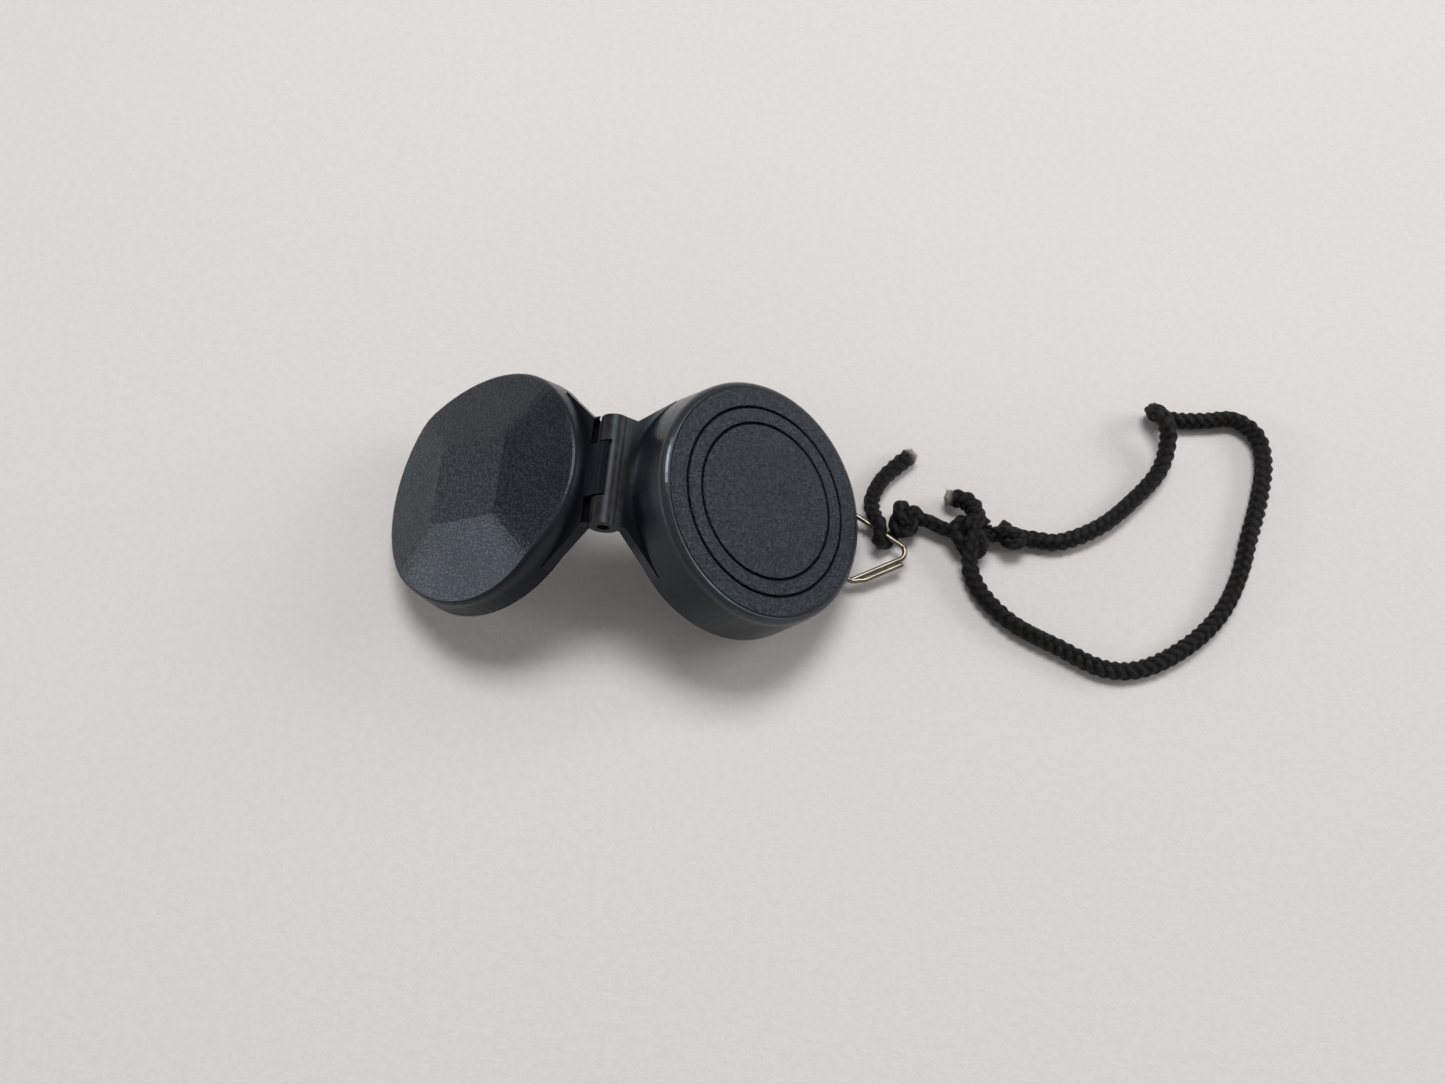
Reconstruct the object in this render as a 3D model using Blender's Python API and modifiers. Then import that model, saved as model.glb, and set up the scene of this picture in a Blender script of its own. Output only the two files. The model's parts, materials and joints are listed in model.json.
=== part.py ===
"""A folding pocket compass of black moulded plastic, opened like a tent and laid face down.

Two round halves turn on a pinned hinge. The base holds the dial, the needle and the window, the lid
holds a mirror, and a triangular wire ring in a lug on the base carries a knotted wrist cord.

Each half is drawn in its own frame: u runs from the hinge axis across the half, v along the hinge and
w from the parting plane to the outer face. The model stands on z = 0, in metres, with the hinge along Y.
"""

import math

import bmesh
import bpy
import numpy as np
from mathutils import Matrix, Vector

MM = 0.001

# The case
CASE_RADIUS = 23.0 * MM
HINGE_STANDOFF = 3.0 * MM
OPEN_ANGLE = math.radians(110.0)
RIM_GAP = 0.15 * MM
WALL = 1.6 * MM
CLEAR = 0.3 * MM
OVERRUN = 1.0 * MM
TURN_STEPS = 80
INSIDE_STEPS = 48

# The base
BASE_HEIGHT = 10.8 * MM
BASE_FLOOR = 1.8 * MM
BASE_TAPER = 0.8 * MM
BASE_EDGE = 1.4 * MM
GROOVE_INSETS = (6.6 * MM, 3.6 * MM)
GROOVE_WIDTH = 0.42 * MM
GROOVE_DEPTH = 0.35 * MM

# The lid
LID_HEIGHT = 7.8 * MM
LID_FLAT = 7.7 * MM
LID_SLOPE = math.radians(11.3)
LID_EDGE = 1.1 * MM
LID_TAPER = 0.65 * MM
LID_RIDGE_SHARPNESS = 14.0
LID_WALL = 1.5 * MM

# The hinge
HINGE_WIDTH = 20.0 * MM
BARREL_RADIUS = 2.55 * MM
HOOD_WALL = 0.6 * MM
HOOD_REACH = math.radians(127.0)
LID_KNUCKLE = 9.7 * MM
TAB_STRAIGHT = 3.0 * MM
TAB_HEIGHT = 2.45 * MM
POCKET_WIDTH = 1.3 * MM
POCKET_FLOOR = 1.0 * MM
POCKET_END = 0.4 * MM
SHOULDER = 0.1 * MM
TAB_SINK = 0.05 * MM
PIN_RADIUS = 0.8 * MM
PIN_RECESS = 1.0 * MM

# The compass in the base
WINDOW_THICKNESS = 1.5 * MM
WINDOW_DEPTH = 2.5 * MM
SEAT_WIDTH = 1.6 * MM
BEZEL_WIDTH = 2.2 * MM
BEZEL_DEPTH = 0.6 * MM
DIAL_THICKNESS = 0.6 * MM
PIVOT_RADIUS = 0.6 * MM
PIVOT_POINT = 1.2 * MM
CAP_ROOM = 1.15 * MM
CAP_ROOF = 0.35 * MM
CAP_RADIUS = 1.3 * MM
CAP_FLANGE = 2.1 * MM
CAP_HEIGHT = 1.5 * MM
CAP_BRIM = 0.4 * MM
CAP_CHAMFER = 0.2 * MM
CAP_CONE = 1.3 * MM
NEEDLE_GAP = 4.3 * MM
NEEDLE_WIDTH = 5.6 * MM
NEEDLE_SHOULDER = 0.84 * MM
NEEDLE_THICKNESS = 0.4 * MM

# The mirror in the lid
MIRROR_THICKNESS = 1.2 * MM
MIRROR_DEPTH = 1.7 * MM

# The lug and the wire ring
LUG_WIDTH = 7.0 * MM
LUG_NOSE = 1.4 * MM
LUG_RISE = 4.0 * MM
LUG_OFFSET = 1.25 * MM
LUG_ROOT = 0.6 * MM
LUG_FILLET = 0.9 * MM
WIRE_RADIUS = 0.5 * MM
BAIL_HALF_BAR = 7.8 * MM
BAIL_REACH = 13.5 * MM
BAIL_SKEW = -0.7 * MM
BAIL_CORNER = 1.7 * MM
BAIL_LAP = 1.14 * MM
BAIL_LIFT = math.radians(3.0)

# The cord
CORD_RADIUS = 1.75 * MM
LEAD_RADIUS = 1.5 * MM
CORD_STEP = 3.6 * MM

HINGE_TO_CENTRE = CASE_RADIUS + HINGE_STANDOFF
BASE_EDGE_RADIUS = CASE_RADIUS - BASE_TAPER
BASE_FACE_RADIUS = BASE_EDGE_RADIUS - BASE_EDGE
LID_EDGE_RADIUS = CASE_RADIUS - LID_TAPER
TILT = (math.pi - OPEN_ANGLE) / 2
HINGE_HEIGHT = (HINGE_TO_CENTRE + CASE_RADIUS) * math.sin(TILT) - RIM_GAP * math.cos(TILT)
INNER_RADIUS = CASE_RADIUS - WALL
BORE_RADIUS = PIN_RADIUS + CLEAR
KNUCKLE_RADIUS = BARREL_RADIUS - HOOD_WALL - CLEAR
POCKET_RADIUS = BARREL_RADIUS + POCKET_WIDTH

PARTS = bpy.data.collections.new("folding_pocket_compass")
CUTTERS = bpy.data.collections.new("cutters")


def clear_scene():
    for obj in list(bpy.data.objects):
        bpy.data.objects.remove(obj, do_unlink=True)
    bpy.context.scene.collection.children.link(PARTS)
    bpy.context.scene.collection.children.link(CUTTERS)


def material(name, colour, roughness, metallic=0.0, transmission=0.0):
    mat = bpy.data.materials.new(name)
    mat.use_nodes = True
    shader = mat.node_tree.nodes["Principled BSDF"]
    shader.inputs["Base Color"].default_value = (*colour, 1.0)
    shader.inputs["Roughness"].default_value = roughness
    shader.inputs["Metallic"].default_value = metallic
    shader.inputs["Transmission Weight"].default_value = transmission
    return mat


def empty(name, parent=None, matrix=None):
    obj = bpy.data.objects.new(name, None)
    obj.empty_display_size = 0.01
    PARTS.objects.link(obj)
    obj.parent = parent
    obj.matrix_local = matrix or Matrix.Identity(4)
    return obj


def place(obj, parent, offset=(0.0, 0.0, 0.0)):
    """Links an object under its frame, as a part."""
    PARTS.objects.link(obj)
    obj.parent = parent
    obj.matrix_local = Matrix.Translation(offset)
    return obj


def helper(obj, parent, offset=(0.0, 0.0, 0.0)):
    """Links an object under its frame, as a shape that only Booleans use."""
    CUTTERS.objects.link(obj)
    obj.parent = parent
    obj.matrix_local = Matrix.Translation(offset)
    obj.hide_render = True
    obj.display_type = "WIRE"
    return obj


def boolean(obj, other, operation, solver="EXACT"):
    modifier = obj.modifiers.new(other.name, "BOOLEAN")
    modifier.operation = operation
    modifier.solver = solver
    modifier.object = other


def dress(obj, mat, angle=35.0):
    """Gives a mesh its material and smooth shading, with sharp edges kept."""
    obj.data.materials.append(mat)
    obj.data.shade_smooth()
    obj.data.set_sharp_from_angle(angle=math.radians(angle))


def arc(centre, radius, start, end, count):
    """Points on an arc, from one angle to the other in degrees."""
    angles = np.radians(np.linspace(start, end, count))
    return [(centre[0] + radius * math.cos(a), centre[1] + radius * math.sin(a)) for a in angles]


def turned(name, profile, ring=False, steps=TURN_STEPS):
    """A profile of (radius, height) points turned about w, which runs down its outer side."""
    mesh = bpy.data.meshes.new(name)
    count = len(profile)
    edges = [(i, (i + 1) % count) for i in range(count if ring else count - 1)]
    mesh.from_pydata([(r, 0.0, h) for r, h in profile], edges, [])
    obj = bpy.data.objects.new(name, mesh)
    screw = obj.modifiers.new("turn", "SCREW")
    screw.steps = steps
    screw.render_steps = steps
    screw.use_smooth_shade = True
    screw.use_merge_vertices = True
    screw.merge_threshold = 1e-6
    return obj


def cylinder(name, radius, length, segments=32):
    """A cylinder along v, centred."""
    mesh = bpy.data.meshes.new(name)
    bm = bmesh.new()
    turn = Matrix.Rotation(math.pi / 2, 4, "X")
    bmesh.ops.create_cone(
        bm, cap_ends=True, segments=segments, radius1=radius, radius2=radius, depth=length, matrix=turn
    )
    bm.to_mesh(mesh)
    bm.free()
    return bpy.data.objects.new(name, mesh)


def as_mesh(curve_obj, name):
    """The solid of a curve, as a mesh with its caps welded."""
    bpy.context.scene.collection.objects.link(curve_obj)
    bpy.context.view_layer.update()
    graph = bpy.context.evaluated_depsgraph_get()
    mesh = bpy.data.meshes.new_from_object(curve_obj.evaluated_get(graph))
    mesh.name = name
    bm = bmesh.new()
    bm.from_mesh(mesh)
    bmesh.ops.remove_doubles(bm, verts=bm.verts, dist=1e-6)
    bmesh.ops.recalc_face_normals(bm, faces=bm.faces)
    bm.to_mesh(mesh)
    bm.free()
    bpy.data.objects.remove(curve_obj, do_unlink=True)
    return bpy.data.objects.new(name, mesh)


def plate(name, outline, low, high):
    """A flat outline in u and v, as thick as from low to high in w."""
    curve = bpy.data.curves.new(name, "CURVE")
    curve.dimensions = "2D"
    curve.fill_mode = "BOTH"
    curve.extrude = (high - low) / 2
    spline = curve.splines.new("POLY")
    spline.points.add(len(outline) - 1)
    for point, (u, v) in zip(spline.points, outline):
        point.co = (u, v, 0.0, 1.0)
    spline.use_cyclic_u = True
    obj = as_mesh(bpy.data.objects.new(name + "_outline", curve), name)
    obj.data.transform(Matrix.Translation((0.0, 0.0, (high + low) / 2)))
    return obj


def tube(name, route, radius, resolution=2):
    """A round tube through the points of a route, with closed ends."""
    curve = bpy.data.curves.new(name, "CURVE")
    curve.dimensions = "3D"
    curve.bevel_depth = radius
    curve.bevel_resolution = resolution
    curve.use_fill_caps = True
    spline = curve.splines.new("POLY")
    spline.points.add(len(route) - 1)
    for point, place_at in zip(spline.points, route):
        point.co = (*place_at, 1.0)
    spline.use_smooth = True
    return as_mesh(bpy.data.objects.new(name + "_line", curve), name)


def case_radius_at(height):
    """The outer radius of either half's skirt, which tapers from the rim to the base's edge."""
    share = height / (BASE_HEIGHT - BASE_EDGE)
    return CASE_RADIUS - BASE_TAPER * share


def groove(radius):
    """A round-bottomed groove across the back, as profile points."""
    half = GROOVE_WIDTH / 2
    return [
        (radius - half * 1.5, BASE_HEIGHT),
        (radius - half * 0.8, BASE_HEIGHT - GROOVE_DEPTH * 0.7),
        (radius, BASE_HEIGHT - GROOVE_DEPTH),
        (radius + half * 0.8, BASE_HEIGHT - GROOVE_DEPTH * 0.7),
        (radius + half * 1.5, BASE_HEIGHT),
    ]


SEAT = WINDOW_DEPTH + WINDOW_THICKNESS + CLEAR
SEAT_RADIUS = INNER_RADIUS - SEAT_WIDTH
FLOOR_INSIDE = BASE_HEIGHT - BASE_FLOOR


def base_profile():
    """The section of the base: back, rounded edge, skirt, rim, window seat and floor."""
    points = [(0.0, BASE_HEIGHT)]
    for inset in GROOVE_INSETS:
        points += groove(BASE_FACE_RADIUS - inset)
    centre = (BASE_FACE_RADIUS, BASE_HEIGHT - BASE_EDGE)
    points += arc(centre, BASE_EDGE, 90.0, 0.0, 6)
    points.append((CASE_RADIUS, RIM_GAP))
    points.append((INNER_RADIUS, RIM_GAP))
    points.append((INNER_RADIUS, SEAT))
    points.append((SEAT_RADIUS, SEAT))
    points.append((SEAT_RADIUS, FLOOR_INSIDE))
    points.append((0.0, FLOOR_INSIDE))
    return points


def tab_outline():
    """The hinge tab in plan: straight at the barrel, then flared to touch the round wall."""
    half = HINGE_WIDTH / 2
    start = Vector((TAB_STRAIGHT - HINGE_TO_CENTRE, half))
    turn = math.acos(CASE_RADIUS / start.length)
    touch = math.degrees(math.atan2(start.y, start.x) - turn)
    outline = [(0.0, -half), (TAB_STRAIGHT, -half)]
    inside = CASE_RADIUS - WALL / 2
    ends = arc((HINGE_TO_CENTRE, 0.0), CASE_RADIUS - TAB_SINK, 360.0 - touch, touch, 2)
    outline.append(ends[0])
    outline += arc((HINGE_TO_CENTRE, 0.0), inside, 356.0 - touch, touch + 4.0, 25)
    outline.append(ends[1])
    outline += [(TAB_STRAIGHT, half), (0.0, half)]
    return outline


def slot(name, radius, low, high, frame):
    """A round cutter along the hinge, between two places on it."""
    obj = cylinder(name, radius, high - low, 48)
    return helper(obj, frame, (0.0, (high + low) / 2, 0.0))


def prism(name, outline, low, high, frame):
    """A helper with its outline in u and w, between two places along the hinge."""
    obj = plate(name, outline, -high, -low)
    obj.data.transform(Matrix.Rotation(math.pi / 2, 4, "X"))
    return helper(obj, frame)


def swept_slice(start, core=0.0):
    """The room that the other half turns in: from an angle round to just over the parting plane."""
    step = 2 * RIM_GAP + SHOULDER
    axis = (0.0, 0.0)
    outline = arc(axis, POCKET_RADIUS, start, 360.0 + math.degrees(math.asin(step / POCKET_RADIUS)), 33)
    if core:
        outline += arc(axis, core, 360.0 + math.degrees(math.asin(step / core)), start, 33)
    else:
        outline.append((0.0, step))
    return outline


def make_base(frame, mat):
    """The base: turned shell, flared tab, and a barrel whose middle is a hood over the lid's knuckle."""
    case = place(turned("base_case", base_profile()), frame, (HINGE_TO_CENTRE, 0.0, 0.0))
    half = HINGE_WIDTH / 2
    inner = LID_KNUCKLE / 2 + CLEAR
    tab = helper(plate("base_tab", tab_outline(), 2 * RIM_GAP, TAB_HEIGHT), frame)
    boolean(case, tab, "UNION")
    boolean(case, slot("base_barrel", BARREL_RADIUS, -half, half, frame), "UNION")
    room = prism("base_room", swept_slice(math.degrees(HOOD_REACH)), -inner, inner, frame)
    boolean(case, room, "DIFFERENCE")
    deep = inner + SHOULDER
    boolean(case, slot("base_socket", KNUCKLE_RADIUS + CLEAR, -deep, deep, frame), "DIFFERENCE")
    boolean(case, slot("base_pin_bore", BORE_RADIUS, -half - OVERRUN, half + OVERRUN, frame), "DIFFERENCE")
    make_lug(case, frame)
    dress(case, mat)
    return case


def lug_centre():
    """Where the wire ring's bar runs, as u and w."""
    return HINGE_TO_CENTRE + case_radius_at(LUG_RISE) + LUG_OFFSET, LUG_RISE


def make_lug(case, frame):
    """The lug on the far wall: a round nose with a sloping root, and the bore along v."""
    u, w = lug_centre()
    root = HINGE_TO_CENTRE + CASE_RADIUS - WALL + LUG_ROOT
    outline = [(root, w - LUG_NOSE)]
    outline += arc((u, w), LUG_NOSE, -90.0, 80.0, 13)
    outline.append((root, w + LUG_NOSE + LUG_FILLET))
    lug = plate("lug", outline, -LUG_WIDTH / 2, LUG_WIDTH / 2)
    lug.data.transform(Matrix.Rotation(math.pi / 2, 4, "X"))
    boolean(case, helper(lug, frame), "UNION")
    bore = cylinder("lug_bore", WIRE_RADIUS + CLEAR, LUG_WIDTH + 2 * OVERRUN, 24)
    boolean(case, helper(bore, frame, (u, 0.0, w)), "DIFFERENCE")


def crown(u, v):
    """The height of the lid's outer face: a flat square with four sloping facets, ridges softened."""
    p = LID_RIDGE_SHARPNESS
    reach = (abs(u) ** p + abs(v) ** p) ** (1 / p)
    return LID_HEIGHT - math.tan(LID_SLOPE) * max(0.0, reach - LID_FLAT)


def lid_rings(count):
    """Rings of (u, v, w) from the middle of the outer face round the rim to the inner ceiling."""
    angles = [2 * math.pi * i / count for i in range(count)]
    unit = [(math.cos(a), math.sin(a)) for a in angles]
    p = LID_RIDGE_SHARPNESS
    square = [LID_FLAT / (abs(x) ** p + abs(y) ** p) ** (1 / p) for x, y in unit]
    brim = LID_EDGE_RADIUS - LID_EDGE
    rings = []
    for share in (0.0, 0.04, 0.35, 0.7, 1.0):
        ring = []
        for (x, y), s in zip(unit, square):
            r = s + (brim - s) * share
            ring.append((r * x, r * y, crown(r * x, r * y)))
        rings.append(ring)
    for angle in (67.0, 45.0, 22.0, 0.0):
        out = LID_EDGE * math.cos(math.radians(angle))
        down = LID_EDGE * (1 - math.sin(math.radians(angle)))
        r = brim + out
        rings.append([(r * x, r * y, crown(brim * x, brim * y) - down) for x, y in unit])
    ledge = MIRROR_DEPTH + MIRROR_THICKNESS + CLEAR
    seat = INNER_RADIUS - SEAT_WIDTH
    rings.append([(CASE_RADIUS * x, CASE_RADIUS * y, RIM_GAP) for x, y in unit])
    rings.append([(INNER_RADIUS * x, INNER_RADIUS * y, RIM_GAP) for x, y in unit])
    rings.append([(INNER_RADIUS * x, INNER_RADIUS * y, ledge) for x, y in unit])
    rings.append([(seat * x, seat * y, ledge) for x, y in unit])
    rings.append([(seat * x, seat * y, crown(seat * x, seat * y) - LID_WALL) for x, y in unit])
    rings.append([(s * x, s * y, LID_HEIGHT - LID_WALL) for (x, y), s in zip(unit, square)])
    return rings


def loft(name, rings):
    """A closed skin over rings of equal count, capped at both ends."""
    bm = bmesh.new()
    loops = [[bm.verts.new(p) for p in ring] for ring in rings]
    for first, second in zip(loops, loops[1:]):
        for i, vert in enumerate(first):
            j = (i + 1) % len(first)
            bm.faces.new((vert, second[i], second[j], first[j]))
    bm.faces.new(loops[0])
    bm.faces.new(list(reversed(loops[-1])))
    bmesh.ops.recalc_face_normals(bm, faces=bm.faces)
    mesh = bpy.data.meshes.new(name)
    bm.to_mesh(mesh)
    bm.free()
    return bpy.data.objects.new(name, mesh)


def make_lid(frame, mat):
    """The lid: lofted shell, flared tab with a trough for the barrel, and the middle knuckle."""
    lid = place(loft("lid_shell", lid_rings(TURN_STEPS)), frame, (HINGE_TO_CENTRE, 0.0, 0.0))
    half = HINGE_WIDTH / 2
    inner = LID_KNUCKLE / 2
    boolean(lid, helper(plate("lid_tab", tab_outline(), 2 * RIM_GAP, TAB_HEIGHT), frame), "UNION")
    root = inner - SHOULDER
    low = math.degrees(math.asin(POCKET_FLOOR / POCKET_RADIUS))
    pocket = [(0.0, POCKET_FLOOR), *arc((0.0, 0.0), POCKET_RADIUS, low, 90.0, 9)]
    for name, side in (("near", -1), ("far", 1)):
        ends = sorted((side * root, side * (half + OVERRUN)))
        trough = slot("lid_trough_" + name, BARREL_RADIUS + CLEAR, *ends, frame)
        boolean(lid, trough, "DIFFERENCE")
        ends = sorted((side * inner, side * (half - POCKET_END)))
        boolean(lid, prism("lid_pocket_" + name, pocket, *ends, frame), "DIFFERENCE")
    boolean(lid, slot("lid_knuckle", BARREL_RADIUS, -inner, inner, frame), "UNION")
    edge = math.degrees(2 * math.pi - OPEN_ANGLE - HOOD_REACH - CLEAR / KNUCKLE_RADIUS)
    room = prism("lid_room", swept_slice(edge, KNUCKLE_RADIUS), -inner - SHOULDER, inner + SHOULDER, frame)
    boolean(lid, room, "DIFFERENCE", "MANIFOLD")
    boolean(lid, slot("lid_pin_bore", BORE_RADIUS, -half, half, frame), "DIFFERENCE")
    dress(lid, mat, 30.0)
    return lid


def disc_profile(radius, low, high, hole=0.0, edge=0.15 * MM):
    """The section of a flat disc or ring with softened corners."""
    outer = [(radius - edge, high), (radius, high - edge), (radius, low + edge), (radius - edge, low)]
    if hole:
        return [(hole, high), *outer, (hole, low)]
    return [(0.0, high), *outer, (0.0, low)]


def make_capsule(frame, axis, mats):
    """What the base holds: dial, pivot, needle with its cap, window and the ring that keeps it."""
    middle = (HINGE_TO_CENTRE, 0.0, 0.0)
    dial_top = FLOOR_INSIDE - CLEAR
    dial_low = dial_top - DIAL_THICKNESS
    profile = disc_profile(SEAT_RADIUS - CLEAR, dial_low, dial_top, PIVOT_RADIUS + CLEAR)
    dress(place(turned("dial_card", profile, True, INSIDE_STEPS), frame, middle), mats["dial"])
    crest = WINDOW_DEPTH + WINDOW_THICKNESS + CAP_ROOM
    tip = crest + CAP_ROOF + CLEAR
    pivot = [(0.0, dial_top), (PIVOT_RADIUS, dial_top), (PIVOT_RADIUS, tip + PIVOT_POINT), (0.0, tip)]
    dress(place(turned("pivot_pin", pivot, steps=24), frame, middle), mats["brass"])
    low, high = WINDOW_DEPTH, WINDOW_DEPTH + WINDOW_THICKNESS
    profile = disc_profile(INNER_RADIUS - CLEAR, low, high)
    dress(place(turned("window", profile, steps=INSIDE_STEPS), frame, middle), mats["glass"])
    profile = disc_profile(
        INNER_RADIUS - CLEAR, BEZEL_DEPTH, WINDOW_DEPTH - CLEAR, INNER_RADIUS - CLEAR - BEZEL_WIDTH
    )
    dress(place(turned("bezel_ring", profile, True, INSIDE_STEPS), frame, middle), mats["plastic"])
    # The cap hangs on the pivot's point by a cone, and its flange carries the needle.
    foot = crest + CAP_HEIGHT
    flange = foot - CAP_BRIM
    hollow = crest + CAP_ROOF
    socket = PIVOT_RADIUS + CLEAR
    cap = [
        (0.0, hollow),
        (socket * 0.55, hollow + CAP_CONE * 0.7),
        (socket, hollow + CAP_CONE),
        (socket, foot),
        (CAP_FLANGE, foot),
        (CAP_FLANGE, flange),
        (CAP_RADIUS, flange),
        (CAP_RADIUS * 0.9, crest + CAP_CHAMFER),
        (CAP_RADIUS * 0.6, crest),
        (0.0, crest),
    ]
    dress(place(turned("needle_cap", cap, steps=24), axis), mats["brass"])
    half = SEAT_RADIUS - NEEDLE_GAP
    wide = NEEDLE_WIDTH / 2
    outline = [(half, 0.0), (NEEDLE_SHOULDER, wide), (-NEEDLE_SHOULDER, wide)]
    outline += [(-half, 0.0), (-NEEDLE_SHOULDER, -wide), (NEEDLE_SHOULDER, -wide)]
    top = flange - CLEAR
    needle = place(plate("compass_needle", outline, top - NEEDLE_THICKNESS, top), axis)
    hole = bpy.data.meshes.new("needle_hole")
    bm = bmesh.new()
    bmesh.ops.create_cone(
        bm,
        cap_ends=True,
        segments=24,
        radius1=CAP_RADIUS + CLEAR,
        radius2=CAP_RADIUS + CLEAR,
        depth=4 * NEEDLE_THICKNESS,
        matrix=Matrix.Translation((0.0, 0.0, top - NEEDLE_THICKNESS / 2)),
    )
    bm.to_mesh(hole)
    bm.free()
    boolean(needle, helper(bpy.data.objects.new("needle_hole", hole), axis), "DIFFERENCE")
    dress(needle, mats["steel"])


def make_mirror(frame, mat):
    profile = disc_profile(INNER_RADIUS - CLEAR, MIRROR_DEPTH, MIRROR_DEPTH + MIRROR_THICKNESS)
    dress(place(turned("lid_mirror", profile, steps=INSIDE_STEPS), frame, (HINGE_TO_CENTRE, 0.0, 0.0)), mat)


def make_pin(frame, mat):
    pin = cylinder("hinge_pin", PIN_RADIUS, HINGE_WIDTH - 2 * PIN_RECESS, 24)
    dress(place(pin, frame), mat)


def rounded_corner(before, corner, after, radius, count):
    """Points of the arc that rounds a corner of a polygon."""
    back = (before - corner).normalized()
    on = (after - corner).normalized()
    half = math.acos(max(-1.0, min(1.0, back.dot(on)))) / 2
    run = radius / math.tan(half)
    centre = corner + (back + on).normalized() * (radius / math.sin(half))
    first = corner + back * run - centre
    last = corner + on * run - centre
    sweep = math.pi - 2 * half
    points = []
    for i in range(count):
        t = i / (count - 1)
        a = math.sin((1 - t) * sweep) / math.sin(sweep)
        b = math.sin(t * sweep) / math.sin(sweep)
        points.append(centre + first * a + last * b)
    return points


def bail_corners():
    """The ring's sharp corners on its own plane: far end of the bar, apex, near end."""
    return (
        Vector((0.0, BAIL_HALF_BAR)),
        Vector((BAIL_REACH, BAIL_SKEW)),
        Vector((0.0, -BAIL_HALF_BAR)),
    )


def bail_route():
    """The wire's line: it starts and ends on the near leg, where the two ends lie side by side."""
    far, apex, near = bail_corners()
    leg = (near - apex).normalized()
    out = Vector((-leg.y, leg.x)) * BAIL_LAP
    if out.dot(apex + near) < 0:
        out = -out
    lap_start = near - leg * (BAIL_CORNER * 2.2)
    lap_end = apex + leg * (BAIL_CORNER * 1.9)
    route = [lap_start]
    route += rounded_corner(near, apex, far, BAIL_CORNER, 9)
    route += rounded_corner(apex, far, near, BAIL_CORNER, 9)
    route += rounded_corner(far, near + out * 0.5, lap_end + out, BAIL_CORNER + BAIL_LAP * 0.5, 9)
    route += [lap_start + out, lap_end + out]
    return [(p.x, p.y, 0.0) for p in route]


def make_bail(axis, mat):
    bail = tube("bail_ring", bail_route(), WIRE_RADIUS, 3)
    dress(place(bail, axis), mat, 60.0)


# The cord's knots: a place from the foot of the ring's bar and the half sizes of each turn, in mm
KNOTS = {
    "ring_knot": (((8.1, 3.0, 2.75), (2.7, 2.3, 2.7)), ((11.8, 6.5, 2.75), (3.1, 3.3, 2.7))),
    "loop_knot": (((24.4, 4.2, 3.05), (3.9, 4.7, 3.0)),),
    "stopper_knot": (((31.7, 4.9, 2.9), (3.1, 3.2, 2.85)),),
}

# The cord's routes between the knots: points from the foot of the ring's bar, in mm
ROUTES = {
    "cord_tail": ((9.0, 3.4, 2.9), (6.0, 7.4, 2.7), (5.4, 10.6, 2.1), (7.1, 14.4, 1.8),
                  (10.0, 17.9, 1.8), (12.7, 20.4, 1.8)),
    "cord_lead": ((11.8, 6.5, 2.7), (15.8, 6.6, 2.5), (19.8, 5.0, 2.6), (24.4, 4.2, 2.9)),
    "cord_end": ((24.9, 6.0, 3.2), (24.8, 9.8, 3.2), (23.0, 12.5, 2.5), (19.6, 13.0, 1.85)),
    "lanyard_loop": ((31.7, 4.9, 2.4), (36.8, 4.9, 1.85), (42.3, 5.0, 1.8),
                     (50.1, 9.0, 1.8), (57.2, 15.7, 1.8), (62.3, 22.0, 1.8), (63.6, 28.0, 1.8),
                     (63.2, 32.6, 1.8), (66.6, 35.2, 1.8), (72.4, 34.6, 1.8), (78.4, 34.7, 1.8),
                     (82.4, 31.1, 1.8), (83.0, 24.6, 1.8), (81.3, 16.6, 1.8), (78.7, 8.3, 1.8),
                     (76.4, 1.0, 1.8), (72.4, -6.6, 1.8), (66.0, -13.4, 1.8), (57.4, -18.8, 1.8),
                     (49.8, -19.4, 1.8), (41.2, -16.2, 1.8), (32.8, -12.4, 1.8), (27.1, -7.4, 1.8),
                     (24.4, -2.6, 2.1), (24.3, 2.0, 2.9)),
}


def smooth_route(points):
    """A fine line along a smooth curve through the route's points."""
    p = np.array(points)
    p = np.vstack([2 * p[0] - p[1], p, 2 * p[-1] - p[-2]])
    dense = []
    for a, b, c, d in zip(p, p[1:], p[2:], p[3:]):
        for t in np.linspace(0.0, 1.0, 24, endpoint=False):
            bend = 2 * a - 5 * b + 4 * c - d
            twist = 3 * b - a - 3 * c + d
            dense.append(0.5 * (2 * b + (c - a) * t + bend * t**2 + twist * t**3))
    dense.append(p[-2])
    return np.array(dense)


def outside(points, radius, gap):
    """Which points of a tube's line have the whole of its section clear of the knots by a gap."""
    along = np.gradient(points, axis=0)
    along /= np.linalg.norm(along, axis=1)[:, None]
    side = np.cross(along, (0.0, 0.0, 1.0))
    side /= np.linalg.norm(side, axis=1)[:, None]
    rise = np.cross(side, along)
    sections = [points]
    for turn in np.linspace(0.0, 2 * math.pi, 16, endpoint=False):
        sections.append(points + radius * (math.cos(turn) * side + math.sin(turn) * rise))
    clear = np.ones(len(points), bool)
    for turns in KNOTS.values():
        for centre, half in turns:
            for section in sections:
                scaled = (section - np.array(centre) * MM) / (np.array(half) * MM + gap)
                clear &= np.linalg.norm(scaled, axis=1) > 1.0
    return clear


def even(points, step):
    """The same line with points at even steps."""
    runs = np.linalg.norm(np.diff(points, axis=0), axis=1)
    along = np.concatenate([[0.0], np.cumsum(runs)])
    count = max(5, round(along[-1] / step) + 1)
    at = np.linspace(0.0, along[-1], count)
    return np.stack([np.interp(at, along, points[:, k]) for k in range(3)], axis=1)


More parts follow.
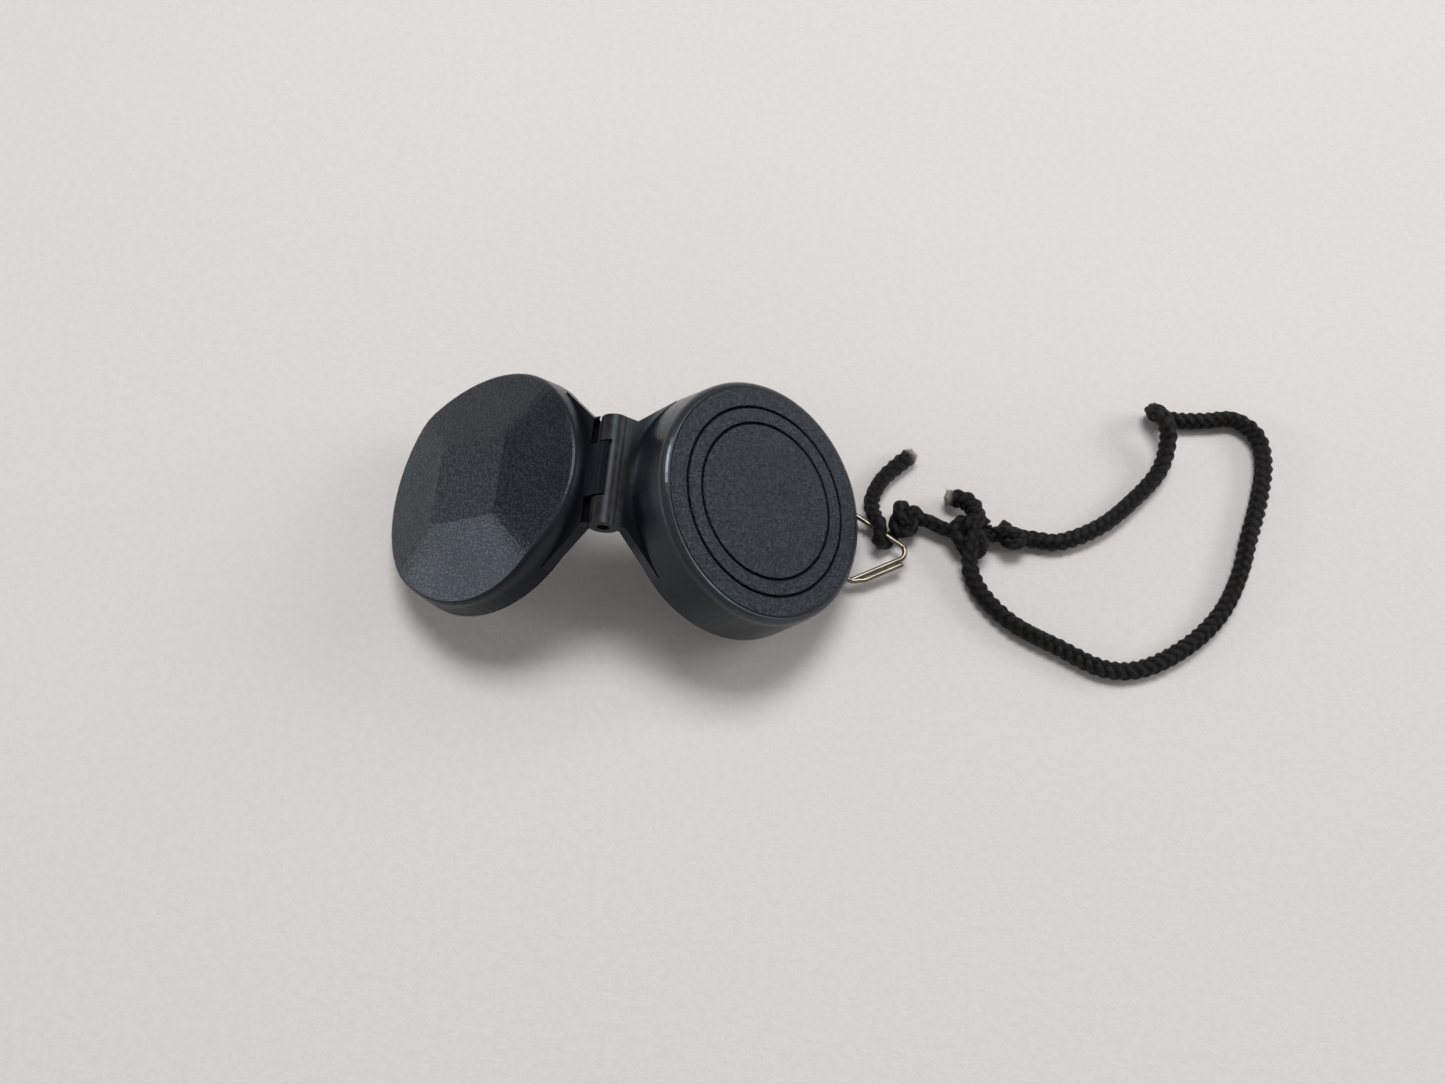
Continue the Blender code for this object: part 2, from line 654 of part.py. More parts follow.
def make_cord(axis, mat):
    """The wrist cord: its knots as rounded lumps and its runs as tubes between them."""
    inverse = axis.matrix_world.inverted()
    origin = Vector((axis.matrix_world.translation.x, 0.0, 0.0))
    for name, turns in KNOTS.items():
        bm = bmesh.new()
        bmesh.ops.create_uvsphere(bm, u_segments=20, v_segments=14, radius=1.0)
        lumps = []
        for i, (centre, half) in enumerate(turns):
            mesh = bpy.data.meshes.new(name)
            bm.to_mesh(mesh)
            size = Matrix.Diagonal((*(h * MM for h in half), 1.0))
            spot = Matrix.Translation(Vector(centre) * MM + origin)
            mesh.transform(inverse @ spot @ size)
            lumps.append(bpy.data.objects.new(name if i == 0 else f"{name}_turn_{i}", mesh))
        bm.free()
        knot = place(lumps[0], axis)
        for lump in lumps[1:]:
            boolean(knot, helper(lump, axis), "UNION")
        if name == "ring_knot":
            sleeve = tube("wire_sleeve", bail_route(), WIRE_RADIUS + CLEAR, 2)
            boolean(knot, helper(sleeve, axis), "DIFFERENCE")
        dress(knot, mat, 60.0)
    for name, points in ROUTES.items():
        radius = LEAD_RADIUS if name == "cord_lead" else CORD_RADIUS
        dense = smooth_route(np.array(points) * MM)
        line = even(dense[outside(dense, radius, CLEAR)], CORD_STEP)
        local = [inverse @ (Vector(p) + origin) for p in line]
        dress(place(tube(name, local, radius, 2), axis), mat, 60.0)


def solid_bounds(names_out):
    """The box round the finished parts, without the named ones."""
    bpy.context.view_layer.update()
    graph = bpy.context.evaluated_depsgraph_get()
    corners = []
    for obj in PARTS.objects:
        if obj.type != "MESH" or obj.name in names_out:
            continue
        evaluated = obj.evaluated_get(graph)
        corners += [evaluated.matrix_world @ v.co for v in evaluated.data.vertices]
    points = np.array(corners)
    return points.min(axis=0), points.max(axis=0)


def main():
    clear_scene()
    mats = {
        "plastic": material("black_plastic", (0.022, 0.023, 0.025), 0.38),
        "grain": material("grained_black_plastic", (0.03, 0.031, 0.034), 0.55),
        "steel": material("steel", (0.62, 0.61, 0.59), 0.3, 1.0),
        "nickel": material("nickel_wire", (0.66, 0.62, 0.56), 0.22, 1.0),
        "brass": material("brass", (0.72, 0.53, 0.24), 0.3, 1.0),
        "dial": material("dial_paper", (0.8, 0.79, 0.74), 0.7),
        "glass": material("window_clear", (0.95, 0.96, 0.96), 0.04, 0.0, 1.0),
        "mirror": material("mirror_silver", (0.9, 0.9, 0.9), 0.03, 1.0),
        "cord": material("cord_black", (0.025, 0.024, 0.026), 0.85),
    }
    root = empty("compass_origin")
    hinge = Matrix.Translation((0.0, 0.0, HINGE_HEIGHT))
    base = empty("base_frame", root, hinge @ Matrix.Rotation(TILT, 4, "Y"))
    lid_turn = Matrix.Rotation(-TILT, 4, "Y") @ Matrix.Rotation(math.pi, 4, "Z")
    lid = empty("lid_axis", root, hinge @ lid_turn)
    needle = empty("needle_axis", base, Matrix.Translation((HINGE_TO_CENTRE, 0.0, 0.0)))
    u, w = lug_centre()
    lift = Matrix.Rotation(-TILT - BAIL_LIFT, 4, "Y")
    bail = empty("bail_axis", base, Matrix.Translation((u, 0.0, w)) @ lift)
    bpy.context.view_layer.update()
    make_base(base, mats["plastic"])
    make_lid(lid, mats["grain"])
    make_pin(base, mats["steel"])
    make_capsule(base, needle, mats)
    make_mirror(lid, mats["mirror"])
    make_bail(bail, mats["nickel"])
    make_cord(bail, mats["cord"])
    low, high = solid_bounds({*KNOTS, *ROUTES})
    root.location.x = -(low[0] + high[0]) / 2
    bpy.context.view_layer.update()


if __name__ == "__main__":
    main()
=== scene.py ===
"""Dresses the folding pocket compass: its black plastic case, wire ring, braided cord and studio."""

import json
import math

import bmesh
import bpy
import numpy as np
from bpy.props import FloatProperty, FloatVectorProperty, IntProperty, PointerProperty
from mathutils import Euler, Matrix, Vector


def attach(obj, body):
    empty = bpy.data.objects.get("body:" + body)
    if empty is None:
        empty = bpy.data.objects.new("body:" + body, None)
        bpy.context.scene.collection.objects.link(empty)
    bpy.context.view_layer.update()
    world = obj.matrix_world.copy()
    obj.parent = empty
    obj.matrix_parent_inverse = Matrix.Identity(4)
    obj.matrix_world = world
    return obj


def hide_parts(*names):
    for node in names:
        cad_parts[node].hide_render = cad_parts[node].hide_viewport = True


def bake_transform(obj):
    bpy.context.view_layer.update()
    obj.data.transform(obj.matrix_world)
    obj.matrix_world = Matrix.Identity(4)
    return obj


bl_info = {
    "name": "Folding Pocket Compass",
    "version": (1, 0, 0),
    "blender": (4, 5, 0),
    "location": "View3D > Sidebar > Compass",
    "description": "Dresses a folding pocket compass with its case finishes, wire ring and braided cord",
    "category": "Object",
}

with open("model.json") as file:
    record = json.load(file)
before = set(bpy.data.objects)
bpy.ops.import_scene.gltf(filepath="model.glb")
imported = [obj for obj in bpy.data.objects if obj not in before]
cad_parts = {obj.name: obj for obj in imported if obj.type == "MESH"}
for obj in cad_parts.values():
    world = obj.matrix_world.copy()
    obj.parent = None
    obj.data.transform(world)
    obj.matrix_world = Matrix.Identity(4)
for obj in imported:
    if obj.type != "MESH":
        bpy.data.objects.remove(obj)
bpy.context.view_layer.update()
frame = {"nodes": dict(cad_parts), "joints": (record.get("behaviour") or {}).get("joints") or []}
NODES = frame["nodes"]
JOINTS = {joint["name"]: joint for joint in frame["joints"]}
MM = 0.001

HINGE = Vector(JOINTS["lid_hinge"]["pos_m"])
RING_AXIS = Vector(JOINTS["bail_swing"]["pos_m"])

# Tilt of each half and of the wire ring to the table, and how far the halves' axes lie from the hinge
TILT = math.radians(35.0)
RING_LIFT = math.radians(3.0)
CASE_CENTRE = 0.026

# The halves' own frames, with x away from the hinge and z out of the case, and the ring's own frame
BASE_FRAME = Matrix.Translation(HINGE) @ Matrix.Rotation(TILT, 4, "Y")
LID_FRAME = Matrix.Translation(HINGE) @ Matrix.Rotation(-TILT, 4, "Y") @ Matrix.Rotation(math.pi, 4, "Z")
RING_FRAME = Matrix.Translation(RING_AXIS) @ Matrix.Rotation(-RING_LIFT, 4, "Y")


def colour(name, description, default):
    return FloatVectorProperty(
        name=name, description=description, default=default, subtype="COLOR", size=3, min=0.0, max=1.0
    )


def length(name, description, default):
    return FloatProperty(name=name, description=description, default=default, unit="LENGTH", min=0.0)


def level(name, description, default, unit="NONE"):
    return FloatProperty(name=name, description=description, default=default, unit=unit, min=0.0)


class CompassCaseSettings(bpy.types.PropertyGroup):
    """Finishes of the two plastic halves and what they hold."""

    plastic: colour("Plastic", "Black of the moulded halves", (0.0045, 0.0056, 0.0078))
    # Rubbed Edge is partly real wear and partly a painted highlight along the halves' edges
    rub: colour("Rubbed Edge", "Plastic where handling has polished and greyed it", (0.080, 0.082, 0.084))
    pebble: length("Pebble", "Size of the leather-like grain on the lid", 0.00050)
    spark: length("Spark", "Size of the fine texture on the base's back", 0.00046)
    needle_red: colour("Needle Red", "Paint on the needle's north half", (0.55, 0.03, 0.025))
    card: colour("Card", "Paper of the dial", (0.80, 0.78, 0.71))
    ink: colour("Ink", "Print on the dial", (0.02, 0.02, 0.022))


class CompassCordSettings(bpy.types.PropertyGroup):
    """The wrist cord and its wire ring."""

    diameter: length("Cord Diameter", "Thickness of the braided cord", 0.0035)
    strands: IntProperty(
        name="Strands", description="Strands that run each way round", default=4, min=4, max=8, step=2
    )
    lay: length("Lay", "Distance along the cord from one strand to the next", 0.0019)
    yarn: colour("Yarn", "Black of the cord's yarn", (0.0046, 0.0043, 0.0047))
    melted: colour("Melted End", "Cord ends that were sealed with a flame", (0.56, 0.51, 0.45))
    wire: length("Wire", "Thickness of the ring's wire", 0.001)
    nickel: colour("Nickel", "Plating on the ring", (0.23, 0.21, 0.165))


class CompassStageSettings(bpy.types.PropertyGroup):
    """The table and the light."""

    paper: colour("Table", "Pale surface that the compass lies on", (0.752, 0.724, 0.704))
    lamp: level("Lamp", "Power of the ceiling lamp", 9.1, unit="POWER")
    room: level("Room", "Strength of the light from the room", 0.21)
    backdrop: level("Backdrop", "Brightness behind the table", 0.7)
    ceiling: level("Ceiling", "Brightness of the room above", 0.24)


# Node materials


class Nodes:
    """A material's tree, with short calls to add and join nodes."""

    def __init__(self, name):
        self.material = bpy.data.materials.new(name)
        self.material.use_nodes = True
        self.tree = self.material.node_tree
        self.shader = self.tree.nodes["Principled BSDF"]

    def add(self, kind, **values):
        node = self.tree.nodes.new("ShaderNode" + kind)
        for key, value in values.items():
            setattr(node, key, value)
        return node

    def join(self, source, target):
        self.tree.links.new(source, target)

    def put(self, node, **values):
        for key, value in values.items():
            node.inputs[key.replace("_", " ")].default_value = value

    def maths(self, operation, first, second=None):
        node = self.add("Math", operation=operation)
        for socket, value in zip(node.inputs, (first, second)):
            if value is None:
                continue
            if isinstance(value, (int, float)):
                socket.default_value = value
            else:
                self.join(value, socket)
        return node.outputs[0]

    def times(self, first, second):
        return self.maths("MULTIPLY", first, second)

    def plus(self, first, second):
        return self.maths("ADD", first, second)

    def minus(self, first, second):
        return self.maths("SUBTRACT", first, second)

    def most(self, first, second):
        return self.maths("MAXIMUM", first, second)

    def place(self, matrix=None):
        """Object coordinates, or those of a frame that was placed in the object."""
        coordinates = self.add("TexCoord").outputs["Object"]
        if matrix is None:
            return coordinates
        mapping = self.add("Mapping", vector_type="TEXTURE")
        mapping.inputs["Location"].default_value = matrix.translation
        mapping.inputs["Rotation"].default_value = matrix.to_euler()
        self.join(coordinates, mapping.inputs["Vector"])
        return mapping.outputs["Vector"]

    def noise(self, vector, size, detail, roughness):
        node = self.add("TexNoise")
        self.join(vector, node.inputs["Vector"])
        node.inputs["Scale"].default_value = 1.0 / size
        node.inputs["Detail"].default_value = detail
        node.inputs["Roughness"].default_value = roughness
        return node.outputs["Fac"]

    def cells(self, vector, size):
        node = self.add("TexVoronoi", feature="F1")
        self.join(vector, node.inputs["Vector"])
        node.inputs["Scale"].default_value = 1.0 / size
        return node.outputs["Distance"]

    def span(self, value, low, high, to_low=0.0, to_high=1.0):
        node = self.add("MapRange", interpolation_type="SMOOTHSTEP")
        self.join(value, node.inputs["Value"])
        for key, number in (("From Min", low), ("From Max", high), ("To Min", to_low), ("To Max", to_high)):
            node.inputs[key].default_value = number
        return node.outputs["Result"]

    def mix(self, share, first, second):
        node = self.add("Mix", data_type="RGBA")
        self.join(share, node.inputs["Factor"])
        for socket, value in ((node.inputs[6], first), (node.inputs[7], second)):
            if isinstance(value, bpy.types.NodeSocket):
                self.join(value, socket)
            else:
                socket.default_value = (*value[:3], 1.0)
        return node.outputs[2]

    def bump(self, height, strength, distance, below=None):
        node = self.add("Bump")
        node.inputs["Strength"].default_value = strength
        node.inputs["Distance"].default_value = distance
        self.join(height, node.inputs["Height"])
        if below is not None:
            self.join(below, node.inputs["Normal"])
        return node.outputs["Normal"]

    def parts(self, vector):
        node = self.add("SeparateXYZ")
        self.join(vector, node.inputs[0])
        return node.outputs

    def finish(self, **sockets):
        for key, value in sockets.items():
            socket = self.shader.inputs[key.replace("_", " ")]
            if isinstance(value, bpy.types.NodeSocket):
                self.join(value, socket)
            elif isinstance(value, (int, float)):
                socket.default_value = value
            else:
                socket.default_value = (*value[:3], 1.0)
        return self.material


def radius_from(nodes, vector):
    """Distance from a half's own axis, and the height above its parting plane."""
    u, v, w = nodes.parts(vector)[:3]
    across = nodes.minus(u, CASE_CENTRE)
    squared = nodes.plus(nodes.times(across, across), nodes.times(v, v))
    return nodes.maths("SQRT", squared), w


# Tint of the gloss on the plastic, and the middle of the dull smudge on the base's back
COOL = (0.71, 0.85, 1.0)
BACK_SMUDGE = (0.0289, 0.0031, 0.0108)
SMUDGE_RADIUS = (0.0004, 0.0019)

# Where the base's finishes change: heights above its parting plane and radii round its axis
BACK_HEIGHT = (0.0103, 0.0107)
BACK_RADIUS = (0.0206, 0.0209)
BASE_EDGE_HEIGHT = (0.0090, 0.0100)
BASE_EDGE_RADIUS = (0.0206, 0.0212)
WEB_RADIUS = (0.0232, 0.0242)
WEB_DULL_RADIUS = (0.0231, 0.0236)

# Radius of the hinge's barrel, and how far from the hinge the skirt is polished
BARREL_RADIUS = (0.0028, 0.0034)
POLISHED_REACH = (0.006, 0.016)

# Where the lid's finishes change
FACE_HEIGHT = (0.0036, 0.0046)
FACE_RADIUS = (0.0214, 0.0222)
LID_EDGE_HEIGHT = (0.0030, 0.0040)
LID_EDGE_RADIUS = (0.0210, 0.0216)


def moulded_waves(nodes, vector, below):
    """The slight waves that a moulded wall keeps, over a finer relief."""
    return nodes.bump(nodes.noise(vector, 0.006, 2.0, 0.5), 0.06, 0.0006, below)


def base_plastic(settings):
    """Black plastic: spark texture on the flat back, a rubbed edge that is partly real wear and partly a
    painted highlight, and a skirt polished near the hinge.
    """
    n = Nodes("base_plastic")
    here = n.place(BASE_FRAME)
    radius, height = radius_from(n, here)
    back = n.times(n.span(height, *BACK_HEIGHT), n.span(radius, *BACK_RADIUS, 1.0, 0.0))
    edge = n.times(n.span(height, *BASE_EDGE_HEIGHT), n.span(radius, *BASE_EDGE_RADIUS))
    top = n.most(back, edge)
    web = n.span(radius, *WEB_RADIUS)
    skirt = n.most(n.minus(1.0, n.maths("ABSOLUTE", n.minus(web, top))), 0.0)
    u, _, w = n.parts(here)[:3]
    from_hinge = n.maths("SQRT", n.plus(n.times(u, u), n.times(w, w)))
    barrel = n.span(from_hinge, *BARREL_RADIUS, 1.0, 0.0)

    spark = n.noise(here, settings.spark, 2.0, 0.6)
    coarse = n.noise(here, settings.spark * 3.2, 2.0, 0.5)
    texture = n.times(n.plus(spark, n.times(coarse, 0.5)), back)
    smudge = n.noise(here, 0.011, 4.0, 0.6)
    scuffs = n.span(n.noise(here, 0.0009, 5.0, 0.75), 0.60, 0.78)
    # The rubbed edge: grey scuffed wear along the edge, and partly also a painted highlight there
    worn_and_highlight = n.times(edge, n.plus(0.22, n.times(scuffs, 0.78)))
    handled = n.span(n.noise(here, 0.0022, 5.0, 0.7), 0.35, 0.75, 0.15, 1.0)
    grit = n.times(n.span(spark, 0.45, 0.72), n.times(back, 0.75))
    rub = n.add("VectorMath", operation="DISTANCE")
    n.join(here, rub.inputs[0])
    rub.inputs[1].default_value = BACK_SMUDGE
    stain = n.times(n.span(rub.outputs["Value"], *SMUDGE_RADIUS, 1.0, 0.0), n.span(smudge, 0.2, 0.6))

    base = n.mix(n.span(smudge, 0.35, 0.75, 0.0, 0.35), settings.plastic, (0.0085, 0.0100, 0.0125))
    base = n.mix(n.times(barrel, handled), base, (0.034, 0.029, 0.026))
    base = n.mix(grit, base, (0.021, 0.024, 0.027))
    base = n.mix(worn_and_highlight, base, settings.rub)
    base = n.mix(n.times(stain, 0.6), base, (0.004, 0.004, 0.004))

    rough = n.plus(n.times(back, 0.16), n.span(smudge, 0.3, 0.8, 0.20, 0.30))
    rough = n.minus(rough, n.times(edge, 0.05))
    rough = n.plus(rough, n.span(radius, *WEB_DULL_RADIUS, 0.0, 0.12))

    shine = n.plus(0.20, n.times(top, 0.41))
    shine = n.plus(shine, n.times(skirt, n.span(u, *POLISHED_REACH, 0.26, 0.0)))
    shine = n.minus(shine, n.times(stain, 0.16))
    crest = n.times(n.minus(n.span(spark, 0.34, 0.68), 0.5), back)
    shine = n.plus(shine, n.times(crest, 0.36))

    relief = moulded_waves(n, here, n.bump(texture, 1.0, 0.00055))
    return n.finish(
        Base_Color=base, Roughness=rough, Normal=relief, IOR=1.5, Specular_Tint=COOL,
        Specular_IOR_Level=shine,
    )


def swayed(nodes, vector, size):
    """Coordinates that wander a little, so that cells of this size don't lie in rows."""
    warp = nodes.noise(vector, size * 2.5, 2.0, 0.5)
    combine = nodes.add("CombineXYZ")
    for socket in combine.inputs:
        nodes.join(warp, socket)
    sway = nodes.add("VectorMath", operation="SCALE")
    nodes.join(combine.outputs[0], sway.inputs[0])
    sway.inputs["Scale"].default_value = size * 0.5
    shifted = nodes.add("VectorMath", operation="ADD")
    nodes.join(vector, shifted.inputs[0])
    nodes.join(sway.outputs[0], shifted.inputs[1])
    return shifted.outputs[0]


def lid_plastic(settings):
    """Black plastic with leather-like pebbles over the facets and a smooth skirt."""
    n = Nodes("lid_plastic")
    here = n.place(LID_FRAME)
    radius, height = radius_from(n, here)
    face = n.times(n.span(height, *FACE_HEIGHT), n.span(radius, *FACE_RADIUS, 1.0, 0.0))
    edge = n.times(n.span(radius, *LID_EDGE_RADIUS), n.span(height, *LID_EDGE_HEIGHT))

    pebbles = n.cells(swayed(n, here, settings.pebble), settings.pebble)
    hills = n.minus(1.0, n.span(pebbles, 0.05, 0.75))
    fine = n.noise(here, settings.pebble * 0.45, 2.0, 0.6)
    grain = n.times(n.plus(hills, n.times(fine, 0.9)), face)
    smudge = n.noise(here, 0.012, 4.0, 0.6)
    scuffs = n.span(n.noise(here, 0.0008, 5.0, 0.75), 0.60, 0.80)
    # The rubbed edge: grey scuffed wear along the edge, and partly also a painted highlight there
    worn_and_highlight = n.times(edge, n.plus(0.06, n.times(scuffs, 0.6)))

    base = n.mix(n.span(smudge, 0.35, 0.75, 0.0, 0.4), settings.plastic, (0.0090, 0.0108, 0.0135))
    base = n.mix(worn_and_highlight, base, settings.rub)
    rough = n.plus(n.times(face, 0.10), n.span(smudge, 0.3, 0.8, 0.24, 0.34))
    shine = n.plus(0.18, n.times(n.most(face, n.times(edge, 0.4)), 0.32))
    crest = n.times(n.minus(n.span(grain, 0.50, 1.40), 0.42), face)
    shine = n.plus(shine, n.times(crest, 0.40))

    relief = moulded_waves(n, here, n.bump(grain, 0.27, 0.00014))
    return n.finish(
        Base_Color=base, Roughness=rough, Normal=relief, IOR=1.5, Specular_Tint=COOL,
        Specular_IOR_Level=shine,
    )


def metal(name, tint, rough, size):
    """Metal with drawn marks, a little tarnish and uneven gloss."""
    n = Nodes(name)
    here = n.place()
    patches = n.noise(here, size, 4.0, 0.6)
    fine = n.noise(here, size * 0.12, 2.0, 0.6)
    dull = tuple(c * 0.55 for c in tint)
    base = n.mix(n.span(patches, 0.45, 0.75, 0.0, 0.7), tint, dull)
    gloss = n.plus(n.span(patches, 0.3, 0.8, rough, rough + 0.14), n.times(fine, 0.06))
    return n.finish(Base_Color=base, Metallic=1.0, Roughness=gloss, Normal=n.bump(fine, 0.15, 0.00004))


def cord_yarn(settings):
    """Black braided yarn: fine filaments along each strand, fuzz, melted grey-brown ends, painted shade in
    the gaps between the plaits and painted highlights along the filaments on the plaits' tops.
    """
    n = Nodes("cord_yarn")
    turn = n.add("UVMap", uv_map="braid").outputs["UV"]
    filaments = n.add("TexWave", wave_type="BANDS", bands_direction="Y", wave_profile="SIN")
    n.join(turn, filaments.inputs["Vector"])
    n.put(filaments, Scale=2.6, Distortion=1.5, Detail=2.0, Detail_Scale=2.0)
    here = n.place()
    fuzz = n.noise(here, 0.00018, 3.0, 0.7)
    dust = n.span(n.noise(here, 0.004, 4.0, 0.65), 0.5, 0.8, 0.0, 0.5)
    melt = n.add("Attribute", attribute_name="melt").outputs["Fac"]
    top = n.add("Attribute", attribute_name="plait").outputs["Fac"]
    # Painted shade: the yarn darkens towards black where the plaits sink into the gaps between them
    yarn_with_painted_light = n.mix(n.span(top, 0.2, 0.95), (0.0008, 0.0008, 0.0009), settings.yarn)
    # Painted highlight: light grey streaks along the filaments on the tops of the plaits
    crests = n.span(filaments.outputs["Fac"], 0.55, 0.95)
    painted_highlight = n.times(crests, n.span(top, 0.45, 0.95, 0.0, 0.65))
    yarn_with_painted_light = n.mix(painted_highlight, yarn_with_painted_light, (0.030, 0.029, 0.031))
    base = n.mix(dust, yarn_with_painted_light, (0.009, 0.0086, 0.009))
    char = n.mix(n.span(fuzz, 0.33, 0.60), (0.07, 0.058, 0.047), settings.melted)
    base = n.mix(melt, base, char)
    lines = n.plus(filaments.outputs["Fac"], n.times(fuzz, 1.2))
    return n.finish(
        Base_Color=base, Roughness=0.45, Normal=n.bump(lines, 0.6, 0.00010), Specular_IOR_Level=0.20,
        Sheen_Weight=0.015, Sheen_Roughness=0.5,
    )


# The dial's rings of ticks: how many, how wide, and the radii between which they lie
TICKS = (
    (72, 0.00022, 0.0166, 0.0182),
    (36, 0.0003, 0.0158, 0.0182),
    (8, 0.0005, 0.0105, 0.0150),
    (4, 0.0009, 0.0072, 0.0150),
)


def dial_card(settings):
    """Paper card with two rings of fine ticks at its rim and a plain star of longer lines."""
    n = Nodes("dial_card")
    here = n.place(BASE_FRAME @ Matrix.Translation((CASE_CENTRE, 0.0, 0.0)))
    u, v = n.parts(here)[:2]
    radius = n.maths("SQRT", n.plus(n.times(u, u), n.times(v, v)))
    angle = n.maths("DIVIDE", n.maths("ARCTAN2", v, u), 2 * math.pi)

    def ticks(count, wide, low, high):
        turn = n.maths("FRACT", n.plus(n.times(angle, float(count)), 0.5 + count))
        off = n.maths("ABSOLUTE", n.minus(turn, 0.5))
        gap = n.times(n.times(off, radius), 2 * math.pi / count)
        line = n.maths("LESS_THAN", gap, wide / 2)
        inside = n.times(n.maths("GREATER_THAN", radius, low), n.maths("LESS_THAN", radius, high))
        return n.times(line, inside)

    marks = ticks(*TICKS[0])
    for ring in TICKS[1:]:
        marks = n.most(marks, ticks(*ring))
    fibre = n.noise(here, 0.0006, 4.0, 0.7)
    paper = n.mix(n.span(fibre, 0.3, 0.8, 0.0, 0.35), settings.card, tuple(c * 0.86 for c in settings.card))
    base = n.mix(marks, paper, tuple(settings.ink))
    return n.finish(Base_Color=base, Roughness=0.7, Normal=n.bump(fibre, 0.15, 0.00004))


def needle_paint(settings):
    """Steel needle, painted red towards north and black towards south."""
    n = Nodes("needle_paint")
    here = n.place(BASE_FRAME @ Matrix.Translation((CASE_CENTRE, 0.0, 0.0)))
    u = n.parts(here)[0]
    flecks = n.noise(here, 0.0008, 4.0, 0.6)
    uneven = n.span(flecks, 0.4, 0.8, 0.0, 0.4)
    red = n.mix(uneven, settings.needle_red, tuple(c * 0.6 for c in settings.needle_red))
    black = n.mix(uneven, (0.020, 0.021, 0.024), (0.040, 0.041, 0.044))
    base = n.mix(n.maths("GREATER_THAN", u, 0.0), black, red)
    rough = n.span(flecks, 0.3, 0.8, 0.28, 0.42)
    return n.finish(Base_Color=base, Roughness=rough, Normal=n.bump(flecks, 0.1, 0.00003))


def window_pane():
    """Clear pane with faint hairlines."""
    n = Nodes("window_pane")
    here = n.place(BASE_FRAME)
    hair = n.span(n.noise(here, 0.0011, 6.0, 0.8), 0.62, 0.8, 0.02, 0.12)
    return n.finish(
        Base_Color=(0.97, 0.98, 0.98), Roughness=hair, Transmission_Weight=1.0, IOR=1.49,
        Normal=n.bump(n.noise(here, 0.004, 2.0, 0.5), 0.03, 0.0002),
    )


def mirror_silver():
    """Silvered glass with a little haze."""
    n = Nodes("mirror_silver")
    here = n.place(LID_FRAME)
    haze = n.noise(here, 0.006, 5.0, 0.65)
    base = n.mix(n.span(haze, 0.45, 0.8, 0.0, 0.4), (0.9, 0.9, 0.9), (0.72, 0.73, 0.74))
    return n.finish(
        Base_Color=base, Metallic=1.0, Roughness=n.span(haze, 0.4, 0.85, 0.03, 0.13),
        Normal=n.bump(n.noise(here, 0.005, 2.0, 0.5), 0.02, 0.0002),
    )


def table_paper(settings):
    """Pale canvas-grained sheet."""
    n = Nodes("table_paper")
    here = n.place()
    thread = n.plus(n.noise(here, 0.0016, 2.0, 0.5), n.noise(here, 0.0006, 2.0, 0.6))
    wash = n.noise(here, 0.12, 3.0, 0.5)
    dark = tuple(c * 0.965 for c in settings.paper)
    base = n.mix(n.span(wash, 0.35, 0.7, 0.0, 0.5), settings.paper, dark)
    base = n.mix(n.span(thread, 0.8, 1.25, 0.0, 0.6), base, tuple(c * 0.93 for c in settings.paper))
    return n.finish(Base_Color=base, Roughness=0.8, Normal=n.bump(thread, 0.35, 0.00022))


# Part of the sky, from level to straight up, over which the backdrop dims to the ceiling
BACKDROP_HEIGHT = (0.06, 0.30)


def room_light(settings):
    """Dim light from the room, which the camera, metal and glass see as a pale backdrop."""
    world = bpy.data.worlds.new("room_light")
    world.use_nodes = True
    tree = world.node_tree
    rays = tree.nodes.new("ShaderNodeLightPath").outputs
    seen = rays["Is Camera Ray"]
    for key in ("Is Glossy Ray", "Is Transmission Ray"):
        either = tree.nodes.new("ShaderNodeMath")
        either.operation = "MAXIMUM"
        tree.links.new(seen, either.inputs[0])
        tree.links.new(rays[key], either.inputs[1])
        seen = either.outputs[0]
    strength = tree.nodes.new("ShaderNodeMapRange")
    tree.links.new(seen, strength.inputs["Value"])
    strength.inputs["To Min"].default_value = settings.room
    height = tree.nodes.new("ShaderNodeSeparateXYZ")
    tree.links.new(tree.nodes.new("ShaderNodeTexCoord").outputs["Generated"], height.inputs[0])
    ceiling = tree.nodes.new("ShaderNodeMapRange")
    tree.links.new(height.outputs["Z"], ceiling.inputs["Value"])
    low, high = BACKDROP_HEIGHT
    for key, value in (
        ("From Min", low), ("From Max", high), ("To Min", settings.backdrop), ("To Max", settings.ceiling)
    ):
        ceiling.inputs[key].default_value = value
    tree.links.new(ceiling.outputs["Result"], strength.inputs["To Max"])
    background = tree.nodes["Background"]
    background.inputs["Color"].default_value = (1.0, 0.985, 0.97, 1.0)
    tree.links.new(strength.outputs["Result"], background.inputs["Strength"])
    return world


# Meshes


def new_object(name, mesh, material, body=None, matrix=None):
    obj = bpy.data.objects.new(name, mesh)
    bpy.context.scene.collection.objects.link(obj)
    obj.data.materials.append(material)
    if matrix is not None:
        obj.matrix_world = matrix
    if body:
        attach(obj, body)
    return obj


def paint(node, material):
    """Gives a CAD node its finish."""
    materials = NODES[node].data.materials
    materials.clear()
    materials.append(material)


def smooth_line(points, step):
    """Points at even steps on a smooth curve through rows of numbers, the first three of them a place."""
    p = np.array(points, float)
    p = np.vstack([2 * p[0] - p[1], p, 2 * p[-1] - p[-2]])
    fine = []
    for a, b, c, d in zip(p, p[1:], p[2:], p[3:]):
        for t in np.linspace(0.0, 1.0, 40, endpoint=False):
            square, cube = 2 * a - 5 * b + 4 * c - d, 3 * b - a - 3 * c + d
            fine.append(0.5 * (2 * b + (c - a) * t + square * t**2 + cube * t**3))
    fine.append(p[-2])
    return even_line(np.array(fine), step)


def even_line(fine, step):
    """Points at even steps along a line of finer points."""
    runs = np.linalg.norm(np.diff(fine[:, :3], axis=0), axis=1)
    along = np.concatenate([[0.0], np.cumsum(runs)])
    at = np.linspace(0.0, along[-1], max(4, round(along[-1] / step) + 1))
    return np.stack([np.interp(at, along, fine[:, k]) for k in range(fine.shape[1])], axis=1)


